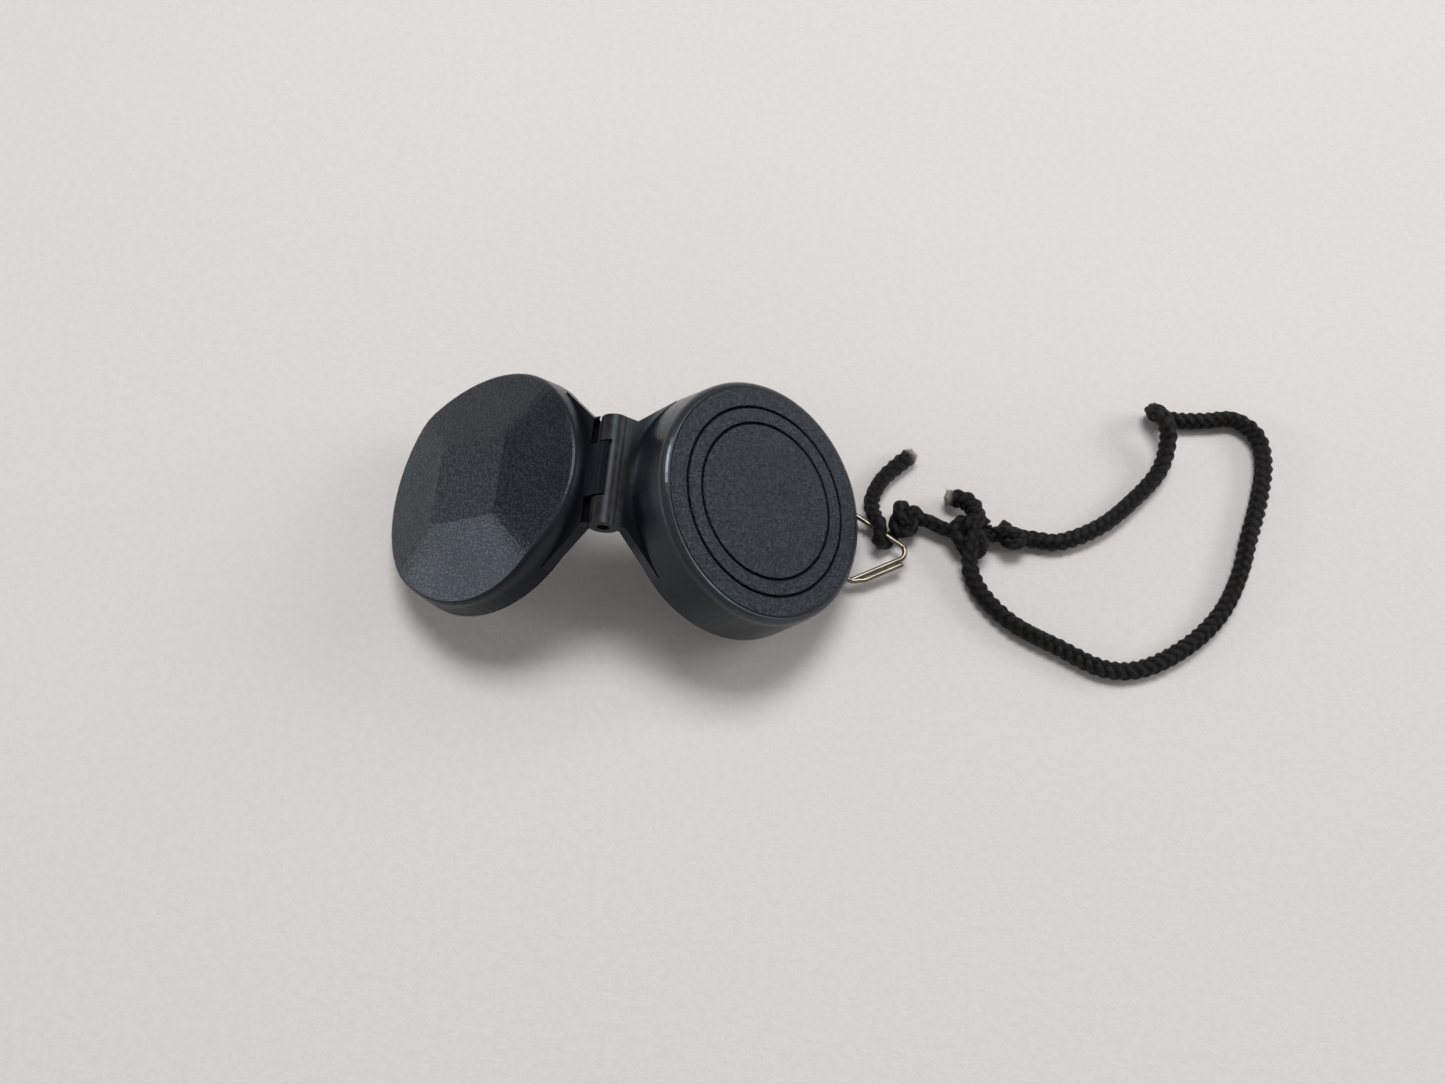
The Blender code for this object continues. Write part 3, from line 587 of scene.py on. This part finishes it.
def carried_frames(line, closed=False):
    """Two side directions at each point of a line, turned as little as possible from one to the next."""
    if closed:
        along = np.roll(line, -1, axis=0) - np.roll(line, 1, axis=0)
    else:
        along = np.gradient(line, axis=0)
    along /= np.linalg.norm(along, axis=1)[:, None]
    side = np.cross(along[0], (0.0, 0.0, 1.0))
    if np.linalg.norm(side) < 1e-6:
        side = np.array((1.0, 0.0, 0.0))
    sides = []
    for direction in along:
        side = side - direction * side.dot(direction)
        side = side / np.linalg.norm(side)
        sides.append(side)
    sides = np.array(sides)
    return along, sides, np.cross(along, sides)


def wall_faces(rings, around, closed=False):
    """The quads between the rings of a tube."""
    faces = []
    for i in range(rings if closed else rings - 1):
        j = (i + 1) % rings
        for k in range(around):
            m = (k + 1) % around
            faces.append((i * around + k, i * around + m, j * around + m, j * around + k))
    return faces


def mark_points(mesh, name, values):
    """Keeps one number at each point, for the yarn to read."""
    layer = mesh.attributes.new(name, "FLOAT", "POINT")
    layer.data.foreach_set("value", np.asarray(values, np.float32))


def face_outwards(mesh):
    bm = bmesh.new()
    bm.from_mesh(mesh)
    bmesh.ops.recalc_face_normals(bm, faces=bm.faces)
    bm.to_mesh(mesh)
    bm.free()


# Length of cord over which its braid turns by one strand, and how far its plaits stand out of its radius
BRAID_SPIN = 0.034
PLAIT_RELIEF = 0.34
PLAIT_LEVEL = 0.80


def plaits(share, runs, lay, spin):
    """Height of the upper strand and the place along and across it, where strands cross two over two."""
    u = share[None, :] + (spin + runs / lay)[:, None]
    v = share[None, :] + (spin - runs / lay)[:, None]
    row, column = np.floor(v), np.floor(u)
    over = (row + column) % 4 < 1.5
    strand, across = np.where(over, u, v), np.where(over, v, u)
    float_along = np.where(over, (u + row) % 4, (v + column - 2) % 4) / 2
    round_across = np.cos(math.pi * (across % 1.0 - 0.5))
    height = round_across**0.7 * (0.35 + 0.65 * np.sin(math.pi * float_along) ** 0.6)
    return height, strand, across


def braid(name, line, radius, settings, melt=None, closed=False, around=32):
    """A round braid along a line: strands cross over and under each other, as real relief."""
    line = np.asarray(line, float)
    rings = len(line)
    radius = np.broadcast_to(radius, rings).astype(float)
    along, side, rise = carried_frames(line, closed)
    runs = np.concatenate([[0.0], np.cumsum(np.linalg.norm(np.diff(line, axis=0), axis=1))])
    lay, spin = settings.lay, runs / BRAID_SPIN
    if closed:
        total = runs[-1] + np.linalg.norm(line[0] - line[-1])
        lay, spin = total / max(2, 2 * round(total / settings.lay / 2)), np.zeros(rings)
    turn = np.linspace(0.0, 2 * math.pi, around, endpoint=False)
    height, strand, across = plaits(turn / (2 * math.pi) * settings.strands, runs, lay, spin)
    reach = radius[:, None] * (1.0 + PLAIT_RELIEF * (height - PLAIT_LEVEL))
    out = np.cos(turn)[None, :, None] * side[:, None, :] + np.sin(turn)[None, :, None] * rise[:, None, :]
    points = (line[:, None, :] + reach[..., None] * out).reshape(-1, 3)
    faces = wall_faces(rings, around, closed)
    plait = height.ravel()
    ends = np.zeros(rings) if melt is None else np.asarray(melt, float)
    sealed = np.repeat(ends, around)
    flat = np.stack([strand.ravel(), across.ravel()], axis=1)
    if not closed:
        tips = (line[0] - along[0] * radius[0] * 0.35, line[-1] + along[-1] * radius[-1] * 0.35)
        points = np.vstack([points, tips])
        low, high = rings * around, rings * around + 1
        for k in range(around):
            m = (k + 1) % around
            faces.append((low, m, k))
            faces.append((high, (rings - 1) * around + k, (rings - 1) * around + m))
        plait = np.append(plait, (0.5, 0.5))
        sealed = np.append(sealed, (ends[0], ends[-1]))
        flat = np.vstack([flat, np.zeros((2, 2))])
    mesh = bpy.data.meshes.new(name)
    mesh.from_pydata([tuple(p) for p in points], [], faces)
    mark_points(mesh, "plait", plait)
    mark_points(mesh, "melt", sealed)
    corners = np.zeros(len(mesh.loops), np.int32)
    mesh.loops.foreach_get("vertex_index", corners)
    mesh.uv_layers.new(name="braid").data.foreach_set("uv", flat[corners].astype(np.float32).ravel())
    mesh.shade_smooth()
    face_outwards(mesh)
    return mesh


# The cord's route on the table, in mm from the hinge's foot: x, y, z and half thickness
CORD_ROUTE = (
    (56.3, 20.9, 1.85, 1.75), (53.4, 18.2, 1.85, 1.75), (50.4, 14.8, 1.85, 1.7),
    (48.6, 10.8, 2.1, 1.65), (48.6, 7.2, 3.3, 1.55), (49.9, 4.0, 4.7, 1.4),
    (49.9, 1.5, 3.3, 1.35), (51.6, 1.7, 1.5, 1.3), (53.4, 4.2, 1.5, 1.3),
    (54.9, 6.3, 2.7, 1.4), (58.6, 6.7, 2.7, 1.5), (62.8, 5.2, 2.6, 1.5),
    (67.3, 4.4, 3.0, 1.5), (71.2, 4.7, 3.0, 1.5), (75.0, 4.9, 2.7, 1.6),
    (80.0, 4.9, 1.85, 1.75), (85.5, 5.0, 1.85, 1.75), (93.3, 9.0, 1.85, 1.75),
    (100.4, 15.7, 1.9, 1.75), (105.0, 21.6, 2.4, 1.75), (106.5, 27.2, 3.7, 1.75),
    (106.0, 30.4, 5.0, 1.72), (104.7, 32.9, 4.9, 1.65), (103.9, 34.4, 3.3, 1.6),
    (105.4, 34.2, 1.95, 1.65), (109.2, 33.3, 1.85, 1.75), (115.0, 33.8, 1.85, 1.75),
    (121.0, 34.6, 1.85, 1.75), (125.4, 31.3, 1.85, 1.75), (126.3, 25.2, 1.85, 1.75),
    (124.7, 17.2, 1.85, 1.75), (122.1, 8.9, 1.85, 1.75), (119.7, 1.2, 1.85, 1.75),
    (115.7, -6.6, 1.85, 1.75), (109.3, -13.4, 1.85, 1.75), (100.7, -18.7, 1.85, 1.75),
    (93.0, -19.6, 1.85, 1.75), (84.4, -16.2, 1.85, 1.75), (76.0, -12.4, 1.85, 1.75),
    (70.3, -7.4, 1.85, 1.75), (67.7, -2.4, 2.3, 1.7), (67.4, 2.0, 4.4, 1.5),
    (68.3, 6.2, 4.4, 1.7), (68.2, 9.2, 3.7, 1.9), (66.3, 11.4, 3.0, 1.9),
    (62.9, 12.0, 2.1, 1.8),
)

# Cord thickness that the route's half thicknesses are drawn for, and the share of them that the braid keeps
ROUTE_DIAMETER = 0.0035
BRAID_SHARE = 0.95

# In mm: distance between the rings of a braid's mesh, and how far a flame has sealed the cord's ends
BRAID_STEP = 0.34
SEALED_LENGTH = 1.1

# The knots: centre, ring, tube and cord half sizes in mm, stretch along each axis, and turn in degrees
KNOTS = {
    "ring_knot": ((55.0, 6.5, 2.95), 1.35, 1.0, 1.2, (1.15, 1.2, 0.8), (20.0, 25.0, 15.0)),
    "loop_knot": ((67.6, 4.2, 3.3), 1.9, 1.25, 1.4, (1.0, 1.15, 0.75), (10.0, -12.0, 40.0)),
    "stopper_knot": ((74.9, 4.9, 2.95), 1.4, 1.0, 1.2, (1.05, 1.1, 0.8), (15.0, 60.0, 80.0)),
}


# The wire ring in mm: its corners on its own plane, the radii of its bends and the step along its line
RING_CORNERS = ((0.0, 7.8), (13.5, -0.7), (0.0, -7.8))
RING_BEND = 1.7
LAP_BEND = 2.2
WIRE_STEP = 0.25


def ring_route(wire):
    """The wire's line on the ring's own plane, in mm: once round, with its two ends side by side."""
    far, apex, near = (Vector(corner) for corner in RING_CORNERS)
    leg = (apex - near).normalized()
    beside = Vector((leg.y, -leg.x)) * wire * 1.04
    points = [near.lerp(apex, t) for t in (0.13, 0.3, 0.5, 0.74)]
    for before, corner, after in ((near, apex, far), (apex, far, near)):
        points += corner_arc(before, corner, after, RING_BEND)
    points += corner_arc(far, near + beside * 0.5, apex + beside, LAP_BEND)
    points += [near.lerp(apex, t) + beside for t in (0.3, 0.45, 0.65, 0.80)]
    return points


def corner_arc(before, corner, after, radius, count=7):
    """Points of the arc that rounds a corner."""
    back, on = (before - corner).normalized(), (after - corner).normalized()
    half = math.acos(max(-1.0, min(1.0, back.dot(on)))) / 2
    centre = corner + (back + on).normalized() * (radius / math.sin(half))
    first = corner + back * (radius / math.tan(half)) - centre
    last = corner + on * (radius / math.tan(half)) - centre
    return [centre + first.slerp(last, i / (count - 1)).normalized() * radius for i in range(count)]


def tube_mesh(name, line, radius, around=14):
    """A plain round tube along a line, with domed ends."""
    along, side, rise = carried_frames(line)
    turn = np.linspace(0.0, 2 * math.pi, around, endpoint=False)
    ring = np.cos(turn)[:, None, None] * side[None] + np.sin(turn)[:, None, None] * rise[None]
    rows = [line[0] - along[0] * radius * 0.5 + ring[:, 0] * radius * 0.7]
    rows += [line[i] + ring[:, i] * radius for i in range(len(line))]
    rows.append(line[-1] + along[-1] * radius * 0.5 + ring[:, -1] * radius * 0.7)
    points = [tuple(p) for row in rows for p in row]
    faces = [tuple(range(around))[::-1], tuple(range(len(points) - around, len(points)))]
    faces += wall_faces(len(rows), around)
    mesh = bpy.data.meshes.new(name)
    mesh.from_pydata(points, [], faces)
    mesh.shade_smooth()
    face_outwards(mesh)
    return mesh


# Turn from one fibre to the next that never lines up, and the lowest that a fibre hangs over the table
GOLDEN = math.pi * (3.0 - math.sqrt(5.0))
FIBRE_CLEAR = 0.05 * MM


def fibre_mesh(name, roots, melt):
    """Thin tapering fibres, each from a root along a direction, bent a little on its way."""
    points, faces = [], []
    for i, (root, way, long, thick) in enumerate(roots):
        way = Vector(way).normalized()
        side = way.orthogonal().normalized()
        rise = way.cross(side)
        bend = side * math.cos(i * GOLDEN * 3) + rise * math.sin(i * GOLDEN * 3)
        first = len(points)
        for t in (0.0, 0.5, 1.0):
            middle = Vector(root) + way * long * t + bend * long * 0.35 * t * t
            size = thick * (1.0 - 0.75 * t)
            for k in range(3):
                turn = 2 * math.pi * k / 3
                point = middle + (side * math.cos(turn) + rise * math.sin(turn)) * size
                point.z = max(point.z, FIBRE_CLEAR)
                points.append(point)
        faces += [tuple(first + p for p in face) for face in wall_faces(3, 3)]
        faces.append((first + 2, first + 1, first))
        faces.append((first + 6, first + 7, first + 8))
    mesh = bpy.data.meshes.new(name)
    mesh.from_pydata([tuple(p) for p in points], [], faces)
    mark_points(mesh, "melt", np.full(len(points), melt))
    mark_points(mesh, "plait", np.ones(len(points)))
    mesh.uv_layers.new(name="braid")
    mesh.shade_smooth()
    return mesh


def tip_fibres(tip, way, radius, count=34):
    """Roots of the fibres that stand out of a melted end."""
    way = Vector(way).normalized()
    side = way.orthogonal().normalized()
    rise = way.cross(side)
    roots = []
    for i in range(count):
        reach = math.sqrt((i + 0.5) / count)
        out = side * math.cos(i * GOLDEN) + rise * math.sin(i * GOLDEN)
        root = Vector(tip) + out * radius * 0.85 * reach - way * radius * 0.2
        long = (0.5 + 0.7 * ((i * 7) % 11) / 11) * MM
        roots.append((root, way + out * (0.2 + 0.9 * reach), long, 0.045 * MM))
    return roots


def stray_fibres(line, radius, every=5):
    """Roots of the loose fibres that lift off the cord here and there, none of them downwards."""
    along, side, _ = carried_frames(line)
    roots = []
    for n, i in enumerate(range(8, len(line) - 8, every)):
        turn = (n * GOLDEN) % math.pi
        out = Vector(side[i]) * math.cos(turn) + Vector((0.0, 0.0, 1.0)) * (0.15 + math.sin(turn))
        out.normalize()
        root = Vector(line[i]) + out * radius[i] * 0.9
        long = (0.35 + 0.6 * ((n * 5) % 13) / 13) * MM
        roots.append((root, out + Vector(along[i]) * (((n * 3) % 7) / 3.5 - 1.0), long, 0.022 * MM))
    return roots


def table_place(point):
    """A place given in mm from the hinge's foot."""
    return Vector((HINGE.x + point[0] * MM, point[1] * MM, point[2] * MM))


def lie_from_ring(piece):
    """Keeps a piece where it lies on the table, with its place baked into its mesh."""
    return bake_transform(piece)


def knot_line(centre, ring, tube, stretch, turned, count=150):
    """An overhand knot pulled tight: a line that winds through its own ring."""
    turn = Euler([math.radians(a) for a in turned]).to_matrix()
    points = []
    for i in range(count):
        t = 2 * math.pi * i / count
        reach = ring + tube * math.cos(3 * t)
        local = Vector((reach * math.cos(2 * t), reach * math.sin(2 * t), tube * math.sin(3 * t)))
        local = turn @ local
        points.append([c + s * x for c, s, x in zip(centre, stretch, local)])
    return np.array([table_place(p) for p in points])


class COMPASS_OT_base(bpy.types.Operator):
    """Finishes the base: spark-textured back, grooves and rubbed edge, which is partly a painted highlight
    """

    bl_idname = "compass.base"
    bl_label = "Base Case"

    def execute(self, context):
        material = base_plastic(context.scene.compass_case)
        paint("base_case", material)
        paint("bezel_ring", material)
        return {"FINISHED"}


class COMPASS_OT_lid(bpy.types.Operator):
    """Finishes the lid: pebbled facets, smooth skirt and the mirror inside"""

    bl_idname = "compass.lid"
    bl_label = "Lid"

    def execute(self, context):
        paint("lid_shell", lid_plastic(context.scene.compass_case))
        paint("lid_mirror", mirror_silver())
        return {"FINISHED"}


class COMPASS_OT_capsule(bpy.types.Operator):
    """Finishes what the base holds: card, pivot, needle and window"""

    bl_idname = "compass.capsule"
    bl_label = "Needle Capsule"

    def execute(self, context):
        settings = context.scene.compass_case
        paint("dial_card", dial_card(settings))
        paint("compass_needle", needle_paint(settings))
        paint("window", window_pane())
        brass = metal("turned_brass", (0.72, 0.52, 0.22), 0.22, 0.003)
        paint("needle_cap", brass)
        paint("pivot_pin", brass)
        paint("hinge_pin", metal("pin_steel", (0.42, 0.42, 0.41), 0.32, 0.003))
        return {"FINISHED"}


class COMPASS_OT_ring(bpy.types.Operator):
    """Finishes the triangular ring of nickel wire"""

    bl_idname = "compass.ring"
    bl_label = "Wire Ring"

    def execute(self, context):
        settings = context.scene.compass_cord
        nickel = metal("nickel_wire", tuple(settings.nickel), 0.24, 0.004)
        route = [(*p, 0.0) for p in ring_route(settings.wire / MM)]
        line = smooth_line(route, WIRE_STEP) * MM
        mesh = tube_mesh("wire_ring", line, settings.wire / 2)
        ring = new_object("wire_ring", mesh, nickel, "bail", RING_FRAME)
        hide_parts("bail_ring")
        return {"FINISHED"}


class COMPASS_OT_cord(bpy.types.Operator):
    """Braids the wrist cord along its route and ties its knots"""

    bl_idname = "compass.cord"
    bl_label = "Wrist Cord"

    def execute(self, context):
        settings = context.scene.compass_cord
        yarn = cord_yarn(settings)
        rows = smooth_line(CORD_ROUTE, BRAID_STEP)
        line = np.array([table_place(p) for p in rows])
        radius = rows[:, 3] * MM * settings.diameter / ROUTE_DIAMETER * BRAID_SHARE
        count = len(line)
        index = np.arange(count)
        ends = np.minimum(index, count - 1 - index) * BRAID_STEP
        melt = np.clip(1.4 - ends / SEALED_LENGTH, 0.0, 1.0)
        radius = radius * np.clip(0.72 + ends * 0.35, 0.0, 1.0)
        mesh = braid("wrist_cord", line, radius, settings, melt)
        cord = lie_from_ring(new_object("wrist_cord", mesh, yarn))
        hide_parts("cord_tail", "cord_lead", "cord_end", "lanyard_loop")
        tips = tip_fibres(line[0], line[0] - line[4], radius[4])
        tips += tip_fibres(line[-1], line[-1] - line[-5], radius[-5])
        strays = stray_fibres(line, radius)
        for name, roots, seal in (("frayed_ends", tips, 1.0), ("stray_fibres", strays, 0.0)):
            fibres = lie_from_ring(new_object(name, fibre_mesh(name, roots, seal), yarn))
        for name, (centre, ring, tube, thick, stretch, turned) in KNOTS.items():
            path = even_line(knot_line(centre, ring, tube, stretch, turned), BRAID_STEP * MM)[:-1]
            mesh = braid(name + "_braid", path, thick * MM, settings, closed=True)
            knot = lie_from_ring(new_object(name + "_braid", mesh, yarn))
            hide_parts(name)
        return {"FINISHED"}


# The camera's place from the hinge's foot, its turn in degrees and its lens on a 36 mm sensor
CAMERA_PLACE = (0.019157, -0.078987, 0.212414)
CAMERA_TURN = (20.2119, -1.9805, 4.5512)
CAMERA_LENS = 29.293
SENSOR_WIDTH = 36.0

# The lamps: place, aim, share of the ceiling lamp's power, and width
LAMPS = {
    "ceiling_lamp": ((0.0, 0.50, 1.10), (0.02, 0.0, 0.0), 1.0, 0.6),
    "right_wall": ((1.10, 0.40, 0.58), (0.0, 0.0, 0.0), 0.60, 0.7),
    "left_wall": ((-1.4, -0.08, 0.40), (0.0, 0.0, 0.03), 0.56, 0.6),
}

# The table's width and middle, a hair under the part
TABLE_WIDTH = 1.6
TABLE_MIDDLE = (0.0, 0.1, -0.00002)


def table_camera():
    """The camera, at the photograph's viewing angle."""
    camera = bpy.data.objects.new("camera", bpy.data.cameras.new("camera"))
    camera.data.sensor_fit = "HORIZONTAL"
    camera.data.sensor_width = SENSOR_WIDTH
    camera.data.lens = CAMERA_LENS
    camera.data.clip_start = 0.01
    turn = Euler([math.radians(a) for a in CAMERA_TURN])
    place = Vector((HINGE.x, 0.0, 0.0)) + Vector(CAMERA_PLACE)
    camera.matrix_world = Matrix.Translation(place) @ turn.to_matrix().to_4x4()
    return camera


def soft_lamp(name, spot, aim, power, width):
    """A wide lamp turned to its aim."""
    light = bpy.data.lights.new(name, "AREA")
    light.shape = "RECTANGLE"
    light.size = width
    light.size_y = width * 0.6
    light.energy = power
    lamp = bpy.data.objects.new(name, light)
    lamp.location = spot
    lamp.rotation_euler = (Vector(aim) - Vector(spot)).to_track_quat("-Z", "Y").to_euler()
    return lamp


class COMPASS_OT_stage(bpy.types.Operator):
    """Lays the pale table, the soft light and the camera"""

    bl_idname = "compass.stage"
    bl_label = "Table, Light and Camera"

    def execute(self, context):
        settings = context.scene.compass_stage
        scene = context.scene
        bpy.ops.mesh.primitive_grid_add(
            x_subdivisions=8, y_subdivisions=8, size=TABLE_WIDTH, location=TABLE_MIDDLE
        )
        table = context.object
        table.name = "table"
        table.data.materials.append(table_paper(settings))
        scene.camera = table_camera()
        scene.collection.objects.link(scene.camera)
        for name, (spot, aim, share, width) in LAMPS.items():
            lamp = soft_lamp(name, spot, aim, settings.lamp * share, width)
            scene.collection.objects.link(lamp)
        scene.world = room_light(settings)
        scene.view_settings.view_transform = "Standard"
        return {"FINISHED"}


OPERATORS = (
    COMPASS_OT_stage,
    COMPASS_OT_cord,
    COMPASS_OT_base,
    COMPASS_OT_lid,
    COMPASS_OT_capsule,
    COMPASS_OT_ring,
)


class COMPASS_PT_panel(bpy.types.Panel):
    """Lists the steps that dress the compass"""

    bl_idname = "COMPASS_PT_panel"
    bl_label = "Folding Pocket Compass"
    bl_space_type = "VIEW_3D"
    bl_region_type = "UI"
    bl_category = "Compass"

    def draw(self, context):
        layout = self.layout
        for operator in OPERATORS:
            layout.operator(operator.bl_idname)
        for group in ("compass_case", "compass_cord", "compass_stage"):
            settings = getattr(context.scene, group)
            box = layout.box()
            for key in settings.bl_rna.properties.keys():
                if key not in {"rna_type", "name"}:
                    box.prop(settings, key)


CLASSES = (CompassCaseSettings, CompassCordSettings, CompassStageSettings, *OPERATORS, COMPASS_PT_panel)


def register():
    for cls in CLASSES:
        bpy.utils.register_class(cls)
    bpy.types.Scene.compass_case = PointerProperty(type=CompassCaseSettings)
    bpy.types.Scene.compass_cord = PointerProperty(type=CompassCordSettings)
    bpy.types.Scene.compass_stage = PointerProperty(type=CompassStageSettings)


def unregister():
    del bpy.types.Scene.compass_stage
    del bpy.types.Scene.compass_cord
    del bpy.types.Scene.compass_case
    for cls in reversed(CLASSES):
        bpy.utils.unregister_class(cls)


def main():
    register()
    for operator in OPERATORS:
        group, name = operator.bl_idname.split(".")
        getattr(getattr(bpy.ops, group), name)()
    bpy.context.view_layer.update()


if __name__ == "__main__":
    main()
